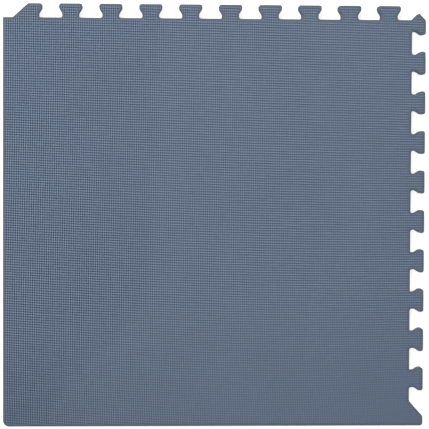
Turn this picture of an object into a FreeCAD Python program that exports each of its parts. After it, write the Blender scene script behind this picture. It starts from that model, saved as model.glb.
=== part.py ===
import FreeCAD, Part
import math
import os

# A corner tile of an interlocking foam blocking mat, in millimetres.
#
# The tile is a laminate of three bonded closed-cell foam sheets, die-cut together to one outline.
# It lies flat with +Z up.  Its left and bottom edges are straight; its top and right edges carry
# dovetail tabs.  Four such tiles, each turned a quarter turn about the junction point at the top
# right, close into a square mat with straight edges all round: the right edge's tabs stand half
# a pitch off the top edge's, so that each fills a gap of the neighbour.
#
# The outline is drawn from the corner where the two straight edges meet, then moved so that the
# origin is on the floor under the centre of the overall square.

# Tab pattern
tab_pitch = 30.0             # centre to centre along an edge
tabs_per_edge = 10
first_tab_offset = 20.5      # from a straight edge to the nearest tab centre on the top edge
tab_depth = 10.5             # from the edge line out to the tip line
tip_width = 17.4             # across a tab at its tip
tab_land = 3.5               # straight run at right angles to the edge, at the tip and at the neck
joint_clearance = 0.05       # between a tab and the gap it fills, on each flank

# The sloped end of a tabbed edge, beside a straight edge of the tile
end_land = 7.25              # straight run before the slope
end_ramp = 11.5              # length of the slope along the edge

# Corner radii
tab_corner_radius = 2.0      # tips and roots of the tabs
flank_blend_radius = 3.0     # where a sloped flank meets a land
mat_corner_radius = 4.5      # where the two straight edges meet
end_corner_radius = 2.0      # where a straight edge meets the tip line
trim_radius = 0.4            # corners that the die leaves nearly sharp

# Sheets, from the floor up
back_thickness = 1.2
core_thickness = 7.6
face_thickness = 1.2

# What follows from the driving dimensions
neck_width = tab_pitch - tip_width - 2.0 * joint_clearance
junction = first_tab_offset + (tabs_per_edge - 0.25) * tab_pitch
edge_line = junction - tab_depth / 2.0
tip_line = junction + tab_depth / 2.0


def tab_profile(centre):
    """Corners of one dovetail tab as (distance along the edge, distance out, radius)."""
    neck = neck_width / 2.0
    tip = tip_width / 2.0
    half = [
        (neck, 0.0, tab_corner_radius),
        (neck, tab_land, flank_blend_radius),
        (tip, tab_depth - tab_land, flank_blend_radius),
        (tip, tab_depth, tab_corner_radius),
    ]
    low_side = [(centre - along, out, radius) for along, out, radius in half]
    high_side = [(centre + along, out, radius) for along, out, radius in reversed(half)]
    return low_side + high_side


def top_edge_profile():
    """Corners of the top edge from the left straight edge towards the junction."""
    profile = [
        (0.0, 0.0, trim_radius),
        (end_land, 0.0, end_corner_radius),
        (end_land + end_ramp, tab_depth, end_corner_radius),
    ]
    # The first tab has its inner flank only: the slope takes the place of the outer one.
    profile += tab_profile(first_tab_offset)[4:]
    for number in range(1, tabs_per_edge):
        profile += tab_profile(first_tab_offset + number * tab_pitch)
    return profile


def right_edge_profile():
    """Corners of the right edge from the bottom straight edge towards the junction."""
    profile = [
        (0.0, tab_depth, end_corner_radius),
        (end_land, tab_depth, end_corner_radius),
        (end_land + end_ramp, 0.0, end_corner_radius),
    ]
    first_centre = first_tab_offset + tab_pitch / 2.0
    for number in range(tabs_per_edge - 1):
        profile += tab_profile(first_centre + number * tab_pitch)
    # The last tab has its lower flank only: the pointed corner takes the place of the upper one.
    profile += tab_profile(first_centre + (tabs_per_edge - 1) * tab_pitch)[:4]
    return profile


def tile_corners():
    """Corners of the whole outline as (x, y, radius), anticlockwise."""
    corners = [(0.0, 0.0, mat_corner_radius)]
    corners += [(edge_line + out, along, radius) for along, out, radius in right_edge_profile()]
    # The point at the junction is a quarter of the square there: four tiles meet on its diagonals.
    corners += [
        (tip_line, edge_line, tab_corner_radius),
        (junction, junction, trim_radius),
        (edge_line, edge_line, tab_corner_radius),
    ]
    corners += [(along, edge_line + out, radius) for along, out, radius in reversed(top_edge_profile())]
    return corners


def rounded_wire(corners):
    """Closed wire through the corners, each rounded by a tangent arc that its two runs can hold."""
    points = [FreeCAD.Vector(x, y, 0.0) for x, y, radius in corners]
    arcs = []
    for index, point in enumerate(points):
        back = points[index - 1] - point
        ahead = points[(index + 1) % len(points)] - point
        half_turn = (math.pi - back.getAngle(ahead)) / 2.0
        longest_tangent = 0.45 * min(back.Length, ahead.Length)
        tangent = min(corners[index][2] * math.tan(half_turn), longest_tangent)
        radius = tangent / math.tan(half_turn)
        inward = (back.normalize() + ahead.normalize()).normalize()
        bulge = radius / math.cos(half_turn) - radius
        start = point + back * tangent
        end = point + ahead * tangent
        arcs.append(Part.Arc(start, point + inward * bulge, end))
    edges = []
    for index, arc in enumerate(arcs):
        following = arcs[(index + 1) % len(arcs)]
        edges.append(arc.toShape())
        edges.append(Part.makeLine(arc.EndPoint, following.StartPoint))
    return Part.Wire(edges)


def sheet(outline, floor, thickness):
    """One foam sheet of the laminate, standing on the given height."""
    face = Part.Face(outline)
    face.translate(FreeCAD.Vector(-tip_line / 2.0, -tip_line / 2.0, floor))
    return face.extrude(FreeCAD.Vector(0.0, 0.0, thickness))


def build_tile():
    """All the tile's pieces by node name."""
    outline = rounded_wire(tile_corners())
    core_floor = back_thickness
    face_floor = back_thickness + core_thickness
    return {
        "back_sheet": sheet(outline, 0.0, back_thickness),
        "foam_core": sheet(outline, core_floor, core_thickness),
        "face_sheet": sheet(outline, face_floor, face_thickness),
    }


os.makedirs("parts", exist_ok=True)
for node, shape in build_tile().items():
    shape.exportStep("parts/" + node + ".step")
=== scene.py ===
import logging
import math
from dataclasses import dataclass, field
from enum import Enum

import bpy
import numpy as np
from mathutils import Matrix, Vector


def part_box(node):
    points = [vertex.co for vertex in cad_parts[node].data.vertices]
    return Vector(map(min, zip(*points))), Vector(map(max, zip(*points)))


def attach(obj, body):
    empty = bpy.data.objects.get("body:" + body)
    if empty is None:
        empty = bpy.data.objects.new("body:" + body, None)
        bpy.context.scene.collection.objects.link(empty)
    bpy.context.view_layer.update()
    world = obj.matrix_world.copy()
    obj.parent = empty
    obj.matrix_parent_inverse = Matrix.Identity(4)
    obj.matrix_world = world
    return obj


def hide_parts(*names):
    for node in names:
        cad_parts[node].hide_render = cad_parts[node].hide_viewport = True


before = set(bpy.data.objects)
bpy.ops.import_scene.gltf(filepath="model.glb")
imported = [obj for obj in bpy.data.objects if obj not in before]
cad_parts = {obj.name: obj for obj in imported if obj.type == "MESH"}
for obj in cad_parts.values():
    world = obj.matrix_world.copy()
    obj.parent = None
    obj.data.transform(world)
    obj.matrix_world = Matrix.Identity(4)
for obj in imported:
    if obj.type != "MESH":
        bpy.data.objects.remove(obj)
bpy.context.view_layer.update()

# Corner tile of an interlocking blocking mat, in closed-cell EVA foam.
#
# The tile is a laminate of three sheets that one die cuts in a single stroke: an embossed face
# sheet, a foam core and a back sheet.  Each sheet is a class that works out its own closed
# surface with numpy and dresses it.  They share one DieLine, the tile's dovetail outline.
#
# Lengths inside the classes are millimetres, as a pattern maker gives them.  make_mesh turns them
# to metres at the end, in the frame's own axes.

log = logging.getLogger("blocking_mat")

Array = np.ndarray
Socket = bpy.types.NodeSocket

BODY = "root"
METRES_PER_MM = 0.001


# ---------------------------------------------------------------- helpers


def linear(code: str) -> tuple[float, float, float, float]:
    """Turn an sRGB hex colour into linear RGBA.

    Args:
        code: six hex digits after a hash sign.

    Returns:
        Linear red, green, blue and an alpha of one.
    """
    shares = [int(code[i : i + 2], 16) / 255.0 for i in (1, 3, 5)]
    flat = [c / 12.92 if c <= 0.04045 else ((c + 0.055) / 1.055) ** 2.4 for c in shares]
    return (flat[0], flat[1], flat[2], 1.0)


def smooth_step(values: Array) -> Array:
    """Ease each value t from 0 to 1 by 3t^2 - 2t^3, held at both ends."""
    held = np.clip(values, 0.0, 1.0)
    return held * held * (3.0 - 2.0 * held)


def box_mm(node: str) -> tuple[Array, Array]:
    """Give a CAD node's lowest and highest corners in millimetres."""
    low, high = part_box(node)
    return np.array(low) / METRES_PER_MM, np.array(high) / METRES_PER_MM


def make_mesh(name: str, points: Array, blocks: list[Array], crease: float = 40.0) -> bpy.types.Mesh:
    """Build a mesh from points and blocks of faces.

    Args:
        name: name for the mesh.
        points: (n, 3) places in millimetres.
        blocks: integer arrays of point numbers, each with one face a row.
        crease: angle in degrees past which an edge stays sharp.

    Returns:
        The mesh, smooth shaded, in metres.
    """
    corners = np.concatenate([block.ravel() for block in blocks]).astype(np.int32)
    sizes = np.concatenate([np.full(len(block), block.shape[1]) for block in blocks])
    starts = np.concatenate([[0], np.cumsum(sizes)[:-1]]).astype(np.int32)
    mesh = bpy.data.meshes.new(name)
    mesh.vertices.add(len(points))
    mesh.vertices.foreach_set("co", (points * METRES_PER_MM).astype(np.float32).ravel())
    mesh.loops.add(len(corners))
    mesh.loops.foreach_set("vertex_index", corners)
    mesh.polygons.add(len(starts))
    mesh.polygons.foreach_set("loop_start", starts)
    mesh.polygons.foreach_set("use_smooth", np.ones(len(starts), dtype=bool))
    mesh.update(calc_edges=True)
    mesh.validate()
    mesh.set_sharp_from_angle(angle=math.radians(crease))
    return mesh


def add_attribute(mesh: bpy.types.Mesh, name: str, values: Array) -> None:
    """Store a value on every vertex, for a material to read.

    Args:
        mesh: the mesh.
        name: the attribute's name.
        values: (n,) numbers, or (n, 2) pairs, which are stored as vectors in the plane.
    """
    if values.ndim == 2:
        values = np.pad(values, ((0, 0), (0, 1)))
    kind, part = ("FLOAT", "value") if values.ndim == 1 else ("FLOAT_VECTOR", "vector")
    layer = mesh.attributes.new(name, kind, "POINT")
    layer.data.foreach_set(part, values.astype(np.float32).ravel())


def add_piece(name: str, mesh: bpy.types.Mesh, material: bpy.types.Material) -> bpy.types.Object:
    """Put a mesh into the scene at the origin.

    Args:
        name: the piece's name.
        mesh: its mesh, in place.
        material: its finish.

    Returns:
        The new object.
    """
    piece = bpy.data.objects.new(name, mesh)
    bpy.context.scene.collection.objects.link(piece)
    mesh.materials.append(material)
    return piece


def stand_for(piece: bpy.types.Object, node: str) -> bpy.types.Object:
    """Let a foam piece stand for its CAD node on the tile's one body.

    Args:
        piece: the foam piece.
        node: the CAD node that it replaces.

    Returns:
        The same piece.
    """
    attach(piece, BODY)
    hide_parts(node)
    return piece


# ---------------------------------------------------------------- outline


@dataclass(frozen=True)
class DieLine:
    """The steel-rule die's outline: two straight edges and two edges of dovetail tabs.

    Four tiles, each turned a quarter turn about the junction point, close into a square mat.
    Sizes are millimetres from the corner where the straight edges meet; centred() moves them.
    """

    pitch: float = 30.0
    tabs: int = 10
    first_tab: float = 20.5
    depth: float = 10.5
    tip: float = 17.4
    land: float = 3.5
    clearance: float = 0.05
    end_land: float = 7.25
    end_ramp: float = 11.5
    tab_radius: float = 2.0
    blend_radius: float = 3.0
    mat_radius: float = 4.5
    end_radius: float = 2.0
    trim_radius: float = 0.4

    @property
    def neck(self) -> float:
        """Width of a tab where it leaves the edge."""
        return self.pitch - self.tip - 2.0 * self.clearance

    @property
    def junction(self) -> float:
        """Distance from a straight edge to the point where four tiles meet."""
        return self.first_tab + (self.tabs - 0.25) * self.pitch

    @property
    def edge_line(self) -> float:
        """Distance from a straight edge to the roots of the opposite tabs."""
        return self.junction - self.depth / 2.0

    @property
    def tip_line(self) -> float:
        """Distance from a straight edge to the tips of the opposite tabs."""
        return self.junction + self.depth / 2.0

    def tab_row(self, first_centre: float) -> Array:
        """Lay out the corners of one edge's tabs.

        Args:
            first_centre: distance along the edge to the first tab's centre.

        Returns:
            Rows of (along, out, radius), eight to a tab.
        """
        half = np.array(
            [
                [self.neck / 2.0, 0.0, self.tab_radius],
                [self.neck / 2.0, self.land, self.blend_radius],
                [self.tip / 2.0, self.depth - self.land, self.blend_radius],
                [self.tip / 2.0, self.depth, self.tab_radius],
            ]
        )
        tab = np.concatenate([half * [-1.0, 1.0, 1.0], half[::-1]])
        centres = first_centre + self.pitch * np.arange(self.tabs)
        rows = np.repeat(tab[None], self.tabs, axis=0)
        rows[:, :, 0] += centres[:, None]
        return rows.reshape(-1, 3)

    def corners(self) -> Array:
        """Lay out the outline's corners.

        The right edge starts with its slope and ends with half a tab under the pointed corner.
        The top edge runs back from there to a tab whose outer flank is a slope.

        Returns:
            Rows of (x, y, radius), anticlockwise.
        """
        ramp_top = self.end_land + self.end_ramp
        right = np.concatenate(
            [
                [[0.0, self.depth, self.end_radius]],
                [[self.end_land, self.depth, self.end_radius]],
                [[ramp_top, 0.0, self.end_radius]],
                self.tab_row(self.first_tab + self.pitch / 2.0)[:-4],
            ]
        )
        top = np.concatenate(
            [
                [[0.0, 0.0, self.trim_radius]],
                [[self.end_land, 0.0, self.end_radius]],
                [[ramp_top, self.depth, self.end_radius]],
                self.tab_row(self.first_tab)[4:],
            ]
        )[::-1]
        along_right = np.stack([self.edge_line + right[:, 1], right[:, 0], right[:, 2]], axis=1)
        along_top = np.stack([top[:, 0], self.edge_line + top[:, 1], top[:, 2]], axis=1)
        point = [
            [self.tip_line, self.edge_line, self.tab_radius],
            [self.junction, self.junction, self.trim_radius],
            [self.edge_line, self.edge_line, self.tab_radius],
        ]
        return np.concatenate([[[0.0, 0.0, self.mat_radius]], along_right, point, along_top])

    def centred(self, places: Array) -> Array:
        """Move places so that the origin is the centre of the overall square."""
        return places - self.tip_line / 2.0

    def path(self, arc_steps: int = 6, run_step: float = 1e9) -> Array:
        """Give the rounded outline as a closed path about the centre of the overall square.

        Each corner becomes a tangent arc: it starts and ends radius * tan(turn / 2) from the
        corner, or 0.45 of the shorter run, and its points turn evenly about its centre.

        Args:
            arc_steps: number of chords in each arc.
            run_step: longest chord allowed on the straight runs, in millimetres.

        Returns:
            (n, 2) points, anticlockwise, with the last not repeating the first.
        """
        rows = self.corners()
        corner = self.centred(rows[:, :2])
        back = np.roll(corner, 1, axis=0) - corner
        ahead = np.roll(corner, -1, axis=0) - corner
        back_length = np.linalg.norm(back, axis=1)
        ahead_length = np.linalg.norm(ahead, axis=1)
        back /= back_length[:, None]
        ahead /= ahead_length[:, None]
        turn = math.pi - np.arccos(np.clip((back * ahead).sum(axis=1), -1.0, 1.0))
        longest_tangent = 0.45 * np.minimum(back_length, ahead_length)
        tangent = np.minimum(rows[:, 2] * np.tan(turn / 2.0), longest_tangent)
        radius = tangent / np.tan(turn / 2.0)
        inward = back + ahead
        inward /= np.linalg.norm(inward, axis=1)[:, None]
        centre = corner + inward * (radius / np.cos(turn / 2.0))[:, None]
        left_turn = np.sign(back[:, 1] * ahead[:, 0] - back[:, 0] * ahead[:, 1])
        sweep = (left_turn * turn)[:, None] * np.linspace(0.0, 1.0, arc_steps + 1)[None]
        spoke = corner + back * tangent[:, None] - centre
        cos, sin = np.cos(sweep), np.sin(sweep)
        x = centre[:, :1] + spoke[:, :1] * cos - spoke[:, 1:] * sin
        y = centre[:, 1:] + spoke[:, :1] * sin + spoke[:, 1:] * cos
        closed = np.stack([x.ravel(), y.ravel()], axis=1)
        return divide_runs(closed, run_step)


def divide_runs(path: Array, longest: float) -> Array:
    """Cut each chord of a closed path into the fewest equal parts no longer than a limit.

    Args:
        path: (n, 2) closed path.
        longest: the limit, in millimetres.

    Returns:
        (m, 2) closed path with the same shape.
    """
    run = np.roll(path, -1, axis=0) - path
    parts = np.maximum(1, np.ceil(np.linalg.norm(run, axis=1) / longest)).astype(int)
    owner = np.repeat(np.arange(len(path)), parts)
    first = np.cumsum(parts) - parts
    share = (np.arange(len(owner)) - first[owner]) / parts[owner]
    return path[owner] + run[owner] * share[:, None]


def nearest_on_path(points: Array, path: Array, chunk: int = 1500) -> tuple[Array, Array]:
    """Find where a closed path comes nearest to each point, and how far inside it the point is.

    The nearest place on a chord is the point's foot on it, held between the chord's ends.  A
    point is inside if a ray from it towards +X crosses an odd number of chords.

    Args:
        points: (n, 2) points.
        path: (m, 2) closed path.
        chunk: points worked out at once, to keep the arrays small.

    Returns:
        (n,) laps, which are distances along the path, and (n,) depths, positive inside.
    """
    start = path
    end = np.roll(path, -1, axis=0)
    run = end - start
    length = np.linalg.norm(run, axis=1)
    before = np.cumsum(length) - length
    laps, depths = [], []
    for part in np.array_split(points, max(1, len(points) // chunk)):
        offset = part[:, None] - start[None]
        share = np.clip((offset * run).sum(axis=2) / length**2, 0.0, 1.0)
        squared = ((run * share[..., None] - offset) ** 2).sum(axis=2)
        best = squared.argmin(axis=1)
        row = np.arange(len(part))
        laps.append(before[best] + share[row, best] * length[best])
        above = end[:, 1] > part[:, 1:]
        straddles = (start[:, 1] > part[:, 1:]) != above
        level = np.where(run[:, 1] == 0.0, 1.0, run[:, 1])
        crossing = start[:, 0] + (part[:, 1:] - start[:, 1]) / level * run[:, 0]
        inside = (straddles & (part[:, :1] < crossing)).sum(axis=1) % 2 == 1
        depths.append(np.where(inside, 1.0, -1.0) * np.sqrt(squared[row, best]))
    return np.concatenate(laps), np.concatenate(depths)


def follow_path(path: Array, laps: Array | None = None) -> tuple[Array, Array]:
    """Find the places at given laps of a closed path, and which way is out there.

    Out is a quarter turn clockwise from the mean of the two chords that meet at a point, and
    turns evenly from one point to the next.

    Args:
        path: (m, 2) closed path, anticlockwise.
        laps: (n,) distances along the path, or None for the path's own points.

    Returns:
        (n, 2) places and (n, 2) outward unit vectors.
    """
    run = np.roll(path, -1, axis=0) - path
    length = np.linalg.norm(run, axis=1)
    before = np.cumsum(length) - length
    heading = run / length[:, None]
    heading = heading + np.roll(heading, 1, axis=0)
    table = np.column_stack([path, heading[:, 1], -heading[:, 0]])
    at = before if laps is None else laps
    found = np.stack([np.interp(at, before, column, period=length.sum()) for column in table.T], axis=1)
    return found[:, :2], found[:, 2:] / np.linalg.norm(found[:, 2:], axis=1)[:, None]


def loop_order(edges: Array) -> Array:
    """Put the points of one closed loop in the order in which its edges run.

    The steps from each point on to the first one are counted by doubling: in each round a point
    adds the steps of the point that it has reached, and then reaches as far again.

    Args:
        edges: (n, 2) point numbers, from and to, in any order.

    Returns:
        (n,) point numbers.
    """
    points = np.unique(edges)
    reached = np.searchsorted(points, edges[np.argsort(edges[:, 0]), 1])
    steps = np.ones(len(points), dtype=int)
    steps[0] = reached[0] = 0
    for _ in range(math.ceil(math.log2(len(points)))):
        steps = steps + steps[reached]
        reached = reached[reached]
    if len(edges) != len(points) or steps.max() != len(points) - 1:
        raise ValueError("the edges are not one closed loop")
    return points[np.argsort(-steps)]


# ---------------------------------------------------------------- emboss


@dataclass(frozen=True)
class Drift:
    """How far the emboss strays from an even pitch as the warm foam stretches off the roll.

    Every field is a distance in millimetres at the tile's edge, along the direction in which the
    ridges are counted.  With a the share of the half width that way and c the share across it,
    the drift is start + c lean + c^2 bow + c^3 curl + a c fan + a c^2 flare + a^2 crowd
    + a^2 c twist + a^3 spread.
    """

    start: float = 0.0
    lean: float = 0.0
    bow: float = 0.0
    curl: float = 0.0
    fan: float = 0.0
    flare: float = 0.0
    crowd: float = 0.0
    twist: float = 0.0
    spread: float = 0.0

    def at(self, along: Array, across: Array) -> Array:
        """Work out the drift.

        Args:
            along: shares of the half width in the direction in which the ridges are counted.
            across: shares of the half width at right angles to it.

        Returns:
            The drift in millimetres at each place.
        """
        sideways = self.lean * across + self.bow * across**2 + self.curl * across**3
        first = self.fan * across + self.flare * across**2
        second = self.crowd + self.twist * across
        return self.start + sideways + along * first + along**2 * second + along**3 * self.spread


@dataclass(frozen=True)
class Emboss:
    """A woven-looking relief of raised columns and rows, rolled into warm foam.

    The height at a place is columns * cos(2 pi c) + rows * cos(2 pi r), where c and r count the
    cells across and up.  The roll pressed less deep to the right and at the foot of the tile,
    and each fade is the share lost there.  With foot_lean, the foot loses more on the right.
    The cells run past the square by the overhang, so that the drift can't pull them off it.
    """

    column_pitch: float
    row_pitch: float
    column_height: float
    row_height: float
    column_drift: Drift = Drift()
    row_drift: Drift = Drift()
    column_fade: float = 0.0
    row_fade: float = 0.0
    column_foot_fade: float = 0.0
    row_foot_fade: float = 0.0
    wander: float = 0.0
    wander_rate: float = 29.0
    overhang: float = 12.0
    foot_start: float = -0.25
    foot_reach: float = 0.75
    foot_lean: float = 0.0
    samples: int = 3

    def grid(self, half: float) -> tuple[Array, Array, tuple[int, int]]:
        """Lay points on the cells so that each groove has its own line of points.

        With three points a cell, a ridge is then a flat top between two V-shaped grooves.

        Args:
            half: half the width of the square to cover, in millimetres.

        Returns:
            (n, 2) places, (n, 2) cell counts, and the grid's numbers of columns and rows.
        """
        pitches = np.array([self.column_pitch, self.row_pitch])
        counts = np.ceil((half + self.overhang) / pitches).astype(int) * self.samples
        steps = [np.arange(-count, count + 1) / self.samples + 0.5 for count in counts]
        cell = np.stack(np.meshgrid(*steps, indexing="ij"), axis=-1)
        place = cell * pitches
        across, up = place[..., 0] / half, place[..., 1] / half
        place[..., 0] += self.column_drift.at(across, up) + self.waver(across, up)
        place[..., 1] += self.row_drift.at(up, across) + self.waver(up, across)
        return place.reshape(-1, 2), cell.reshape(-1, 2), cell.shape[:2]

    def waver(self, along: Array, across: Array) -> Array:
        """Give the ridges' unevenness: wander * sin(rate * across + 3 sin(rate / 3 * along))."""
        bend = 3.0 * np.sin(self.wander_rate / 3.0 * along)
        return self.wander * np.sin(self.wander_rate * across + bend)

    def press(self, place: Array, half: float) -> Array:
        """Work out how deep the roll pressed.

        Args:
            place: (n, 2) places in millimetres.
            half: half the width of the square, in millimetres.

        Returns:
            (n, 2) heights of the columns and of the rows, in millimetres.
        """
        across, up = place[:, :1] / half, place[:, 1:] / half
        foot = smooth_step((self.foot_start - up) / self.foot_reach) * (1.0 + self.foot_lean * across)
        heights = np.array([self.column_height, self.row_height])
        fades = np.array([self.column_fade, self.row_fade])
        foot_fades = np.array([self.column_foot_fade, self.row_foot_fade])
        return heights * (1.0 - fades * across) * (1.0 - foot_fades * foot)

    def relief(self, cell: Array, press: Array) -> Array:
        """Give the height of the surface under its flat tops: press * (cos(2 pi cell) - top)."""
        top = math.cos(math.pi / self.samples)
        return (press * (np.cos(2.0 * math.pi * cell) - top)).sum(axis=1)


# ---------------------------------------------------------------- node trees


class Tree:
    """The node tree of a material or a world, filled one node at a time."""

    def __init__(self, owner: bpy.types.Material | bpy.types.World) -> None:
        """Empty the owner's node tree.

        Args:
            owner: the material or world to fill.
        """
        owner.use_nodes = True
        self.owner = owner
        self.tree = owner.node_tree
        self.tree.nodes.clear()

    def add(self, kind: str, output: int | str = 0, settings: dict | None = None, **links: object) -> Socket:
        """Add a node with its settings, values and links.

        Args:
            kind: the node's type after "ShaderNode".
            output: which output to return.
            settings: attributes of the node itself.
            links: sockets or constants by input name, or by "i" and the input's number.

        Returns:
            The output socket asked for.
        """
        node = self.tree.nodes.new("ShaderNode" + kind)
        for key, value in (settings or {}).items():
            setattr(node, key, value)
        for key, value in links.items():
            number = key[1:]
            name = int(number) if key[0] == "i" and number.isdigit() else key.replace("_", " ")
            socket = node.inputs[name]
            if isinstance(value, bpy.types.NodeSocket):
                self.tree.links.new(value, socket)
            else:
                socket.default_value = value
        return node.outputs[output] if node.outputs else None


# ---------------------------------------------------------------- finishes


@dataclass(frozen=True)
class FoamFinish:
    """Cross-linked closed-cell EVA foam: matt, faintly waxy, dyed right through.

    Ridges are painted lighter and grooves darker: painted light on the ridges and painted shade down
    in the grooves, where little light gets in.  Faint clouds follow uneven heat in the press, fine
    grain is the skin's own, and a darker, greyer band runs along the outline.  The cut itself is
    darker, as its opened bubbles trap light.
    """

    name: str
    # The ridge colour is painted light on the ridges, the groove colour painted shade in the grooves.
    ridge: str
    groove: str
    edge: str
    cut: str
    full_press: float
    roughness: float = 0.62
    roughness_swing: float = 0.06
    ior: float = 1.49
    sheen: float = 0.08
    sheen_roughness: float = 0.5
    steepness: float = 1.5
    # How much lighter the foam is as a whole where the roll pressed harder.
    press_tone: float = 0.15
    streak_cells: float = 7.0
    streak_width_cells: float = 1.25
    streak_strength: float = 0.4
    cloud_mm: float = 70.0
    cloud_strength: float = 0.02
    grain_mm: float = 0.6
    grain_strength: float = 0.1
    grain_bump_mm: float = 0.02

    def shade(self, tree: Tree) -> Socket:
        """Work out how far towards the ridge colour each place is.

        Each direction's wave is cos(2 pi cell), steepened, held between -1 and 1, and raised by a
        constant, which makes the foam lighter as a whole where the roll pressed harder.  It is
        multiplied by the press.  Streaks make the painted light and shade of each thread of the roll's
        weave stronger or weaker along its length.  Painted shade towards the tile's corner is taken off
        the height.  The result paints light on the ridges and shade in the grooves.

        Args:
            tree: the material's tree.

        Returns:
            A socket from 0, groove, to 1, ridge.
        """
        cell = tree.add("Attribute", "Vector", {"attribute_name": "cell"})
        press = tree.add("Attribute", "Vector", {"attribute_name": "press"})
        angle = tree.add("VectorMath", 0, {"operation": "SCALE"}, i0=cell, Scale=2.0 * math.pi)
        wave = tree.add("VectorMath", 0, {"operation": "COSINE"}, i0=angle)
        steep = tree.add("VectorMath", 0, {"operation": "SCALE"}, i0=wave, Scale=self.steepness)
        topped = tree.add("VectorMath", 0, {"operation": "MINIMUM"}, i0=steep, i1=(1.0, 1.0, 1.0))
        held = tree.add("VectorMath", 0, {"operation": "MAXIMUM"}, i0=topped, i1=(-1.0, -1.0, -1.0))
        # Lighter as a whole where the roll pressed harder, darker where it pressed less.
        lift = (self.press_tone, self.press_tone, 0.0)
        raised = tree.add("VectorMath", 0, {"operation": "ADD"}, i0=held, i1=lift)
        gains = []
        along, across = 1.0 / self.streak_cells, 1.0 / self.streak_width_cells
        for scale in ((across, along, 0.0), (along, across, 0.0)):
            thread = tree.add("VectorMath", 0, {"operation": "MULTIPLY"}, i0=cell, i1=scale)
            streak = tree.add("TexNoise", 0, Vector=thread, Scale=1.0)
            gains.append(tree.add("MapRange", 0, Value=streak, **self.swing(self.streak_strength)))
        gain = tree.add("CombineXYZ", 0, X=gains[0], Y=gains[1])
        pressed = tree.add("VectorMath", 0, {"operation": "MULTIPLY"}, i0=press, i1=gain)
        height = tree.add("VectorMath", "Value", {"operation": "DOT_PRODUCT"}, i0=raised, i1=pressed)
        # Painted shade towards the tile's corner, taken off the height.
        painted_corner_shade = tree.add("Attribute", "Fac", {"attribute_name": "painted_corner_shade"})
        height = tree.add("Math", 0, {"operation": "SUBTRACT"}, i0=height, i1=painted_corner_shade)
        lowest, highest = (self.press_tone - 1.0) * self.full_press, (self.press_tone + 1.0) * self.full_press
        return tree.add("MapRange", 0, Value=height, From_Min=lowest, From_Max=highest)

    @staticmethod
    def swing(strength: float) -> dict[str, float]:
        """Give the ranges that turn a noise into a multiplier within a strength of one."""
        return {"From_Min": 0.3, "From_Max": 0.7, "To_Min": 1.0 - strength, "To_Max": 1.0 + strength}

    def build(self) -> bpy.types.Material:
        """Build the node material.

        Returns:
            The material, named for the finish.
        """
        tree = Tree(bpy.data.materials.new(self.name))
        place = tree.add("TexCoord", "Object")
        rgba = {"data_type": "RGBA", "clamp_factor": True}
        # Painted light on the ridges, painted shade down in the grooves.
        relief = tree.add("Mix", 2, rgba, i0=self.shade(tree), i6=linear(self.groove), i7=linear(self.ridge))
        edge = tree.add("Attribute", "Fac", {"attribute_name": "edge"})
        # A darker, greyer band along the outline.
        banded = tree.add("Mix", 2, rgba, i0=edge, i6=relief, i7=linear(self.edge))
        past_edge = tree.add("MapRange", 0, Value=edge, From_Min=1.0, From_Max=2.0)
        colour = tree.add("Mix", 2, rgba, i0=past_edge, i6=banded, i7=linear(self.cut))
        cloud = tree.add("TexNoise", 0, Vector=place, Scale=1000.0 / self.cloud_mm, Detail=3.0)
        grain = tree.add("TexNoise", 0, Vector=place, Scale=1000.0 / self.grain_mm, Detail=2.0)
        for pattern, strength in ((cloud, self.cloud_strength), (grain, self.grain_strength)):
            share = tree.add("MapRange", 0, Value=pattern, **self.swing(strength))
            colour = tree.add("VectorMath", 0, {"operation": "SCALE"}, i0=colour, Scale=share)
        rough = tree.add(
            "MapRange",
            0,
            Value=grain,
            From_Min=0.3,
            From_Max=0.7,
            To_Min=self.roughness - self.roughness_swing,
            To_Max=self.roughness + self.roughness_swing,
        )
        bump = tree.add("Bump", 0, Height=grain, Strength=1.0, Distance=self.grain_bump_mm * METRES_PER_MM)
        shader = tree.add(
            "BsdfPrincipled",
            0,
            Base_Color=colour,
            Roughness=rough,
            IOR=self.ior,
            Normal=bump,
            Sheen_Weight=self.sheen,
            Sheen_Roughness=self.sheen_roughness,
        )
        tree.add("OutputMaterial", Surface=shader)
        return tree.owner


@dataclass(frozen=True)
class CutFoamFinish:
    """The same foam where the die sliced it: opened bubbles, each a tiny matt cup.

    It looks speckled, as each cup is painted darker than the walls between: painted shade in the
    cups.  Real bubbles are about 0.2 mm across; these are drawn at bubble_mm, as coarse as they
    need to be to show.
    """

    name: str
    wall: str
    painted_cup_shade: str
    bubble_mm: float = 0.45
    bubble_bump_mm: float = 0.05
    tone_mm: float = 3.3
    tone_gain: float = 2.2
    roughness: float = 0.8
    ior: float = 1.49

    def build(self) -> bpy.types.Material:
        """Build the node material.

        A place is as light as its distance from the middle of its cup, times a slow tone: painted shade in
        the cups.

        Returns:
            The material, named for the finish.
        """
        tree = Tree(bpy.data.materials.new(self.name))
        place = tree.add("TexCoord", "Object")
        cells = tree.add("TexVoronoi", "Distance", Vector=place, Scale=1000.0 / self.bubble_mm)
        tone = tree.add("TexNoise", 0, Vector=place, Scale=1000.0 / self.tone_mm, Detail=4.0)
        depth = tree.add("MapRange", 0, Value=cells, From_Min=0.0, From_Max=0.8)
        slow = tree.add("Math", 0, {"operation": "MULTIPLY"}, i0=tone, i1=self.tone_gain)
        light = tree.add("Math", 0, {"operation": "MULTIPLY"}, i0=slow, i1=depth)
        rgba = {"data_type": "RGBA", "clamp_factor": True}
        # Painted shade in each bubble's cup, lighter towards the walls between.
        colour = tree.add("Mix", 2, rgba, i0=light, i6=linear(self.painted_cup_shade), i7=linear(self.wall))
        bump = tree.add("Bump", 0, Height=depth, Strength=1.0, Distance=self.bubble_bump_mm * METRES_PER_MM)
        shader = tree.add(
            "BsdfPrincipled", 0, Base_Color=colour, Roughness=self.roughness, IOR=self.ior, Normal=bump
        )
        tree.add("OutputMaterial", Surface=shader)
        return tree.owner


# ---------------------------------------------------------------- sheets


class Side(Enum):
    """Which way a skin sheet's open face looks."""

    UP = 1.0
    DOWN = -1.0


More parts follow.
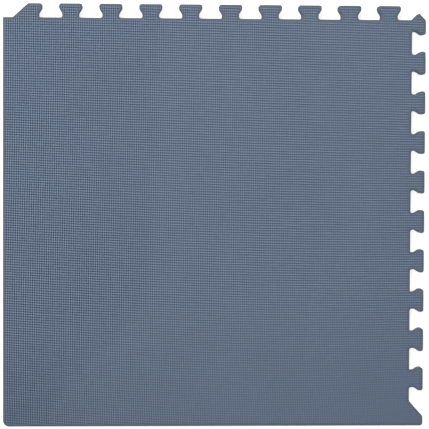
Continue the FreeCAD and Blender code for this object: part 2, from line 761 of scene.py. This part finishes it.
@dataclass
class SkinSheet:
    """One embossed outer sheet of the laminate, closed all round.

    The open face is a grid of points that follows the emboss.  Its quads are kept where they lie
    inside a line rim_width within the die line, and the outermost points are drawn onto that
    line.  From there a rolled rim and a short wall, both profiles carried along the outline, lead
    to a flat bonded face.  Nothing changes further in than deep.

    Painted shade darkens the corner between the straight edges: its field times
    exp(-r / corner_reach) at a distance r from it.
    """

    node: str
    piece: str
    slot: str
    die_line: DieLine
    emboss: Emboss
    finish: FoamFinish
    side: Side
    rim_width: float = 0.35
    rim_rows: int = 3
    wall_row: float = 0.8
    pinch: float = 0.25
    pinch_width: float = 2.2
    calm: float = 0.6
    corner_painted_shade: float = 0.0
    corner_reach: float = 56.0
    # Width of the darker, greyer band along the outline.
    band_width: float = 2.6
    deep: float = 4.0
    low: float = field(init=False)
    high: float = field(init=False)

    def __post_init__(self) -> None:
        """Take the sheet's two levels from the frame."""
        lowest, highest = box_mm(self.node)
        self.low, self.high = float(lowest[2]), float(highest[2])

    @property
    def half(self) -> float:
        """Half the width of the overall square."""
        return self.die_line.tip_line / 2.0

    def measure(self, place: Array, path: Array) -> tuple[Array, Array]:
        """Find laps and depths, working them out only for points that may be near the edge.

        Args:
            place: (n, 2) points.
            path: (m, 2) closed path of the outline.

        Returns:
            (n,) laps and (n,) depths, both in millimetres.
        """
        inner = -self.half + self.deep
        outer = self.half - self.die_line.depth - self.deep
        sure = ((place > inner) & (place < outer)).all(axis=1)
        beyond = (np.abs(place) > self.half).any(axis=1)
        near = ~sure & ~beyond
        lap = np.zeros(len(place))
        depth = np.where(beyond, -1.0, self.deep)
        lap[near], depth[near] = nearest_on_path(place[near], path)
        return lap, depth

    def kept_quads(self, depth: Array, shape: tuple[int, int]) -> Array:
        """Pick the grid's quads whose four points are all inside the rim line.

        Args:
            depth: (n,) depths of the grid's points.
            shape: the grid's numbers of columns and rows.

        Returns:
            (m, 4) point numbers, anticlockwise.
        """
        number = np.arange(shape[0] * shape[1]).reshape(shape)
        quads = np.stack([number[:-1, :-1], number[1:, :-1], number[1:, 1:], number[:-1, 1:]], axis=-1)
        quads = quads.reshape(-1, 4)
        return quads[depth[quads].min(axis=1) > self.rim_width]

    def border(self, quads: Array, count: int) -> Array:
        """Follow the edges that only one quad has round the sheet.

        Args:
            quads: (m, 4) point numbers.
            count: number of points in the grid.

        Returns:
            (k,) point numbers, anticlockwise.
        """
        edges = np.stack([quads, np.roll(quads, -1, axis=1)], axis=-1).reshape(-1, 2)
        key = edges.min(axis=1).astype(np.int64) * count + edges.max(axis=1)
        _, first, uses = np.unique(key, return_index=True, return_counts=True)
        return loop_order(edges[first[uses == 1]])

    def even_laps(self, lap: Array, whole: float, rounds: int = 6) -> Array:
        """Ease the border's laps so that each point lies ahead of the one before it.

        A stair step in the grid puts two points at one lap.  What each lap has over an even
        share of the whole is averaged with its neighbours', 1 : 2 : 1, a few times.

        Args:
            lap: (k,) laps of the border's points, in order.
            whole: length of the outline.
            rounds: number of times to average.

        Returns:
            (k,) laps, rising.
        """
        step = np.diff(lap, append=lap[0])
        step -= whole * np.round(step / whole)
        even = np.arange(len(lap)) * whole / len(lap)
        extra = lap[0] + np.cumsum(step) - step - even
        for _ in range(rounds):
            extra = (np.roll(extra, 1) + 2.0 * extra + np.roll(extra, -1)) / 4.0
        return even + extra

    def heights(self, cell: Array, press: Array, depth: Array) -> Array:
        """Work out the open face: relief, calmer near the edge and pinched down at it.

        Args:
            cell: (n, 2) cell counts.
            press: (n, 2) heights of the columns and of the rows.
            depth: (n,) depths inside the outline.

        Returns:
            (n,) heights over the sheet's own level, none above zero.
        """
        relief = self.emboss.relief(cell, press)
        edge = 1.0 - smooth_step((depth - self.rim_width) / self.pinch_width)
        return relief * (1.0 - self.calm * edge) - self.pinch * edge

    def skirt(self, start: Array, inner: Array, outward: Array) -> Array:
        """Carry the rim's profile round the sheet: a quarter ellipse, then a straight wall.

        The wall has one row of points on the way down, at the share wall_row of the thickness.

        Args:
            start: (n,) heights of the border points.
            inner: (n, 2) places of the border points.
            outward: (n, 2) outward unit vectors there.

        Returns:
            (rows, n, 3) points, from the first row past the border to the bonded face.
        """
        turn = np.linspace(0.0, math.pi / 2.0, self.rim_rows + 1)[1:]
        thickness = self.high - self.low
        reach = np.concatenate([np.sin(turn), [1.0, 1.0]]) * self.rim_width
        fall = np.concatenate([(1.0 - np.cos(turn)) * self.rim_width, [self.wall_row * thickness, thickness]])
        place = inner[None] + outward[None] * reach[:, None, None]
        level = start[None] * (1.0 - fall[:, None] / thickness) - fall[:, None]
        return np.concatenate([place, level[..., None]], axis=-1)

    def build(self) -> bpy.types.Object:
        """Work out the surface, dress it and hand it to the frame.

        Returns:
            The finished piece.
        """
        path = self.die_line.path()
        place, cell, shape = self.emboss.grid(self.half)
        lap, depth = self.measure(place, path)
        quads = self.kept_quads(depth, shape)
        loop = self.border(quads, len(place))
        whole = np.linalg.norm(np.roll(path, -1, axis=0) - path, axis=1).sum()
        outer, outward = follow_path(path, self.even_laps(lap[loop], whole))
        place[loop] = outer - outward * self.rim_width
        depth[loop] = self.rim_width

        used, quads = np.unique(quads, return_inverse=True)
        quads = quads.reshape(-1, 4)
        border = np.searchsorted(used, loop)
        press = self.emboss.press(place[used], self.half)
        rise = self.heights(cell[used], press, depth[used])
        skirt = self.skirt(rise[border], place[loop], outward)
        rows = len(skirt)
        points = np.concatenate([np.column_stack([place[used], rise]), skirt.reshape(-1, 3)])
        level = self.high if self.side is Side.UP else self.low
        points[:, 2] = level + self.side.value * points[:, 2]

        ring = np.concatenate([border[None], len(used) + np.arange(rows * len(loop)).reshape(rows, -1)])
        after = np.roll(ring, -1, axis=1)
        band = np.stack([ring[:-1], ring[1:], after[1:], after[:-1]], axis=-1).reshape(-1, 4)
        blocks = [quads, band, ring[-1:, ::-1]]
        if self.side is Side.DOWN:
            blocks = [block[:, ::-1] for block in blocks]
        mesh = make_mesh(self.piece, points, blocks)

        edge = 1.0 - smooth_step((depth[used] - self.rim_width) / self.band_width)
        past_edge = 1.0 + np.minimum(np.arange(1, rows + 1) / 2.0, 1.0)
        reach = np.linalg.norm(points[:, :2] + self.half, axis=1)
        wall_cell = np.tile(cell[loop], (rows, 1))
        wall_press = np.tile(press[border], (rows, 1))
        add_attribute(mesh, "cell", np.concatenate([cell[used], wall_cell]))
        add_attribute(mesh, "press", np.concatenate([press, wall_press]))
        add_attribute(mesh, "edge", np.concatenate([edge, np.repeat(past_edge, len(loop))]))
        # Painted shade towards the corner between the straight edges.
        add_attribute(mesh, "painted_corner_shade", self.corner_painted_shade * np.exp(-reach / self.corner_reach))
        return stand_for(add_piece(self.piece, mesh, self.finish.build()), self.node)


@dataclass
class FoamCore:
    """The thick middle sheet: a sliced wall with a slight waist between two flat bonded faces.

    The blade squeezes the foam before it cuts, so the wall springs back hollow by
    waist * sin(pi * height share).  The hollow wanders along the wall by waves of x + y, each as
    strong as it is long.
    """

    node: str
    piece: str
    slot: str
    die_line: DieLine
    finish: CutFoamFinish
    waist: float = 0.3
    wander: float = 0.05
    wave_mm: tuple[float, ...] = (43.0, 19.0, 11.0)
    rows: int = 10
    run_step: float = 1.5

    def build(self) -> bpy.types.Object:
        """Work out the surface, dress it and hand it to the frame.

        Returns:
            The finished piece.
        """
        lowest, highest = box_mm(self.node)
        path = self.die_line.path(run_step=self.run_step)
        _, outward = follow_path(path)
        share = np.linspace(0.0, 1.0, self.rows + 1)
        bow = np.sin(math.pi * share)
        length = np.array(self.wave_mm)
        waves = np.sin(2.0 * math.pi * path.sum(axis=1)[:, None] / length) * length / length.sum()
        depth = bow[:, None] * (self.waist + self.wander * waves.sum(axis=1))
        place = path[None] - outward[None] * depth[..., None]
        level = lowest[2] + share * (highest[2] - lowest[2])
        height = np.broadcast_to(level[:, None, None], place.shape[:2] + (1,))
        points = np.concatenate([place, height], axis=-1).reshape(-1, 3)
        ring = np.arange(len(points)).reshape(len(share), -1)
        after = np.roll(ring, -1, axis=1)
        wall = np.stack([ring[:-1], after[:-1], after[1:], ring[1:]], axis=-1).reshape(-1, 4)
        mesh = make_mesh(self.piece, points, [wall, ring[-1:], ring[:1, ::-1]])
        return stand_for(add_piece(self.piece, mesh, self.finish.build()), self.node)


# ---------------------------------------------------------------- studio


@dataclass(frozen=True)
class SoftBox:
    """A square soft light, aimed at the middle of the tile."""

    name: str
    place: tuple[float, float, float]
    width: float
    watts: float

    def build(self) -> None:
        """Hang the light and turn it to the tile."""
        lamp = bpy.data.lights.new(self.name, "AREA")
        lamp.size = self.width
        lamp.energy = self.watts
        light = bpy.data.objects.new(self.name, lamp)
        light.location = self.place
        away = -np.array(self.place) / np.linalg.norm(self.place)
        heading = math.atan2(away[1], away[0]) - math.pi / 2.0
        light.rotation_euler = (math.acos(-away[2]), 0.0, heading)
        bpy.context.scene.collection.objects.link(light)


@dataclass(frozen=True)
class Studio:
    """An opal light table in a white room, seen from almost straight above.

    The walls are bright and the ceiling dim, so most light comes from the two soft boxes.  A
    little light through the table keeps the shadows beside the tile faint.  The table top lies
    a hair under the tile, so that no two faces share a plane.  Places are metres and the
    camera's turns are degrees.
    """

    table_width: float = 6.0
    table_drop_mm: float = 0.05
    table_colour: str = "#CBCBCA"
    table_glow: float = 0.74
    table_roughness: tuple[float, float] = (0.75, 0.9)
    table_cloud: float = 0.5
    wall: float = 1.0
    ceiling: float = 0.2
    wall_top: float = 0.3
    lens_mm: float = 150.0
    camera_place: tuple[float, float, float] = (-0.0632, 0.0551, 1.3559)
    tilt: float = -2.296
    pan: float = -2.669
    roll: float = 0.262

    def build(self) -> None:
        """Lay the table, light the room, hang the soft boxes and set the camera."""
        bpy.context.scene.view_settings.view_transform = "Standard"
        self.light_room()
        self.lay_table()
        for light in (
            SoftBox("key_softbox", (-0.4, 1.05, 1.5), 0.6, 18.1),
            SoftBox("top_softbox", (-0.15, 0.0, 1.4), 0.9, 7.3),
        ):
            light.build()
        self.set_camera()

    def light_room(self) -> None:
        """Light the room by height above the horizon: bright to wall_top, then dim overhead."""
        world = bpy.data.worlds.new("white_room")
        tree = Tree(world)
        direction = tree.add("TexCoord", "Generated")
        height = tree.add("SeparateXYZ", "Z", i0=direction)
        level = tree.add(
            "MapRange",
            0,
            Value=height,
            From_Min=self.wall_top / 3.0,
            From_Max=self.wall_top,
            To_Min=self.wall,
            To_Max=self.ceiling,
        )
        glow = tree.add("Background", 0, Color=linear("#FFFFFF"), Strength=level)
        tree.add("OutputWorld", Surface=glow)
        bpy.context.scene.world = world

    def lay_table(self) -> None:
        """Make the table top of opal acrylic, matt from sanding, lit faintly from below."""
        reach = self.table_width / METRES_PER_MM / 2.0
        corners = reach * np.array([[-1.0, -1.0], [1.0, -1.0], [1.0, 1.0], [-1.0, 1.0]])
        points = np.pad(corners, ((0, 0), (0, 1)), constant_values=-self.table_drop_mm)
        mesh = make_mesh("table_top", points, [np.array([[0, 1, 2, 3]])])
        tree = Tree(bpy.data.materials.new("opal_acrylic_sanded"))
        place = tree.add("TexCoord", "Object")
        cloud = tree.add("TexNoise", 0, Vector=place, Scale=1.0 / self.table_cloud, Detail=2.0)
        smooth, coarse = self.table_roughness
        rough = tree.add("MapRange", 0, Value=cloud, To_Min=smooth, To_Max=coarse)
        shader = tree.add(
            "BsdfPrincipled",
            0,
            Base_Color=linear(self.table_colour),
            Roughness=rough,
            Emission_Color=linear("#FFFFFF"),
            Emission_Strength=self.table_glow,
        )
        tree.add("OutputMaterial", Surface=shader)
        add_piece("table_top", mesh, tree.owner)

    def set_camera(self) -> None:
        """Place the camera, a few degrees off straight down."""
        lens = bpy.data.cameras.new("camera")
        lens.lens = self.lens_mm
        lens.sensor_width = 36.0
        camera = bpy.data.objects.new("camera", lens)
        camera.location = self.camera_place
        camera.rotation_euler = tuple(math.radians(a) for a in (self.tilt, self.pan, self.roll))
        bpy.context.scene.collection.objects.link(camera)
        bpy.context.scene.camera = camera


# ---------------------------------------------------------------- the tile


def tile_sheets() -> tuple[SkinSheet, FoamCore, SkinSheet]:
    """Size and finish the three sheets.

    Returns:
        The face sheet, the core and the back sheet.
    """
    die_line = DieLine()
    weave = Emboss(
        column_pitch=1.641,
        row_pitch=1.876,
        column_height=0.12,
        row_height=0.17,
        column_drift=Drift(
            start=0.34,
            lean=0.6,
            bow=1.4,
            curl=-1.5,
            fan=-3.2,
            flare=1.2,
            crowd=-0.3,
            twist=-1.2,
            spread=1.4,
        ),
        row_drift=Drift(start=0.36, lean=-4.4, bow=2.2, fan=0.4, flare=-2.95, crowd=1.2, twist=1.2),
        column_fade=0.72,
        row_fade=0.17,
        column_foot_fade=0.33,
        row_foot_fade=0.68,
        foot_lean=0.3,
        wander=0.06,
    )
    grip = Emboss(column_pitch=4.0, row_pitch=4.0, column_height=0.06, row_height=0.06)
    edges = {"edge": "#545E6C", "cut": "#3E4757"}
    # Ridge and groove colours paint light on the ridges and shade in the grooves.
    skin = FoamFinish("eva_foam_face_embossed", "#7D8EA6", "#1E334C", full_press=0.33, **edges)
    plain_skin = FoamFinish("eva_foam_back_grip", "#69768C", "#4B5567", full_press=0.24, **edges)
    sliced = CutFoamFinish("eva_foam_die_cut", wall="#667389", painted_cup_shade="#465165")
    # The face sheet's corner gets painted shade.
    face = SkinSheet(
        "face_sheet", "embossed_face", "face_foam", die_line, weave, skin, Side.UP, corner_painted_shade=0.09
    )
    core = FoamCore("foam_core", "cut_core", "core_foam", die_line, sliced)
    back = SkinSheet("back_sheet", "grip_back", "back_foam", die_line, grip, plain_skin, Side.DOWN)
    return face, core, back


def main() -> None:
    """Build the tile's sheets from the face down, then the studio."""
    logging.basicConfig(level=logging.INFO, format="%(name)s: %(message)s")
    for sheet in tile_sheets():
        piece = sheet.build()
        log.info("%s: %d faces", piece.name, len(piece.data.polygons))
    Studio().build()


if __name__ == "__main__":
    main()
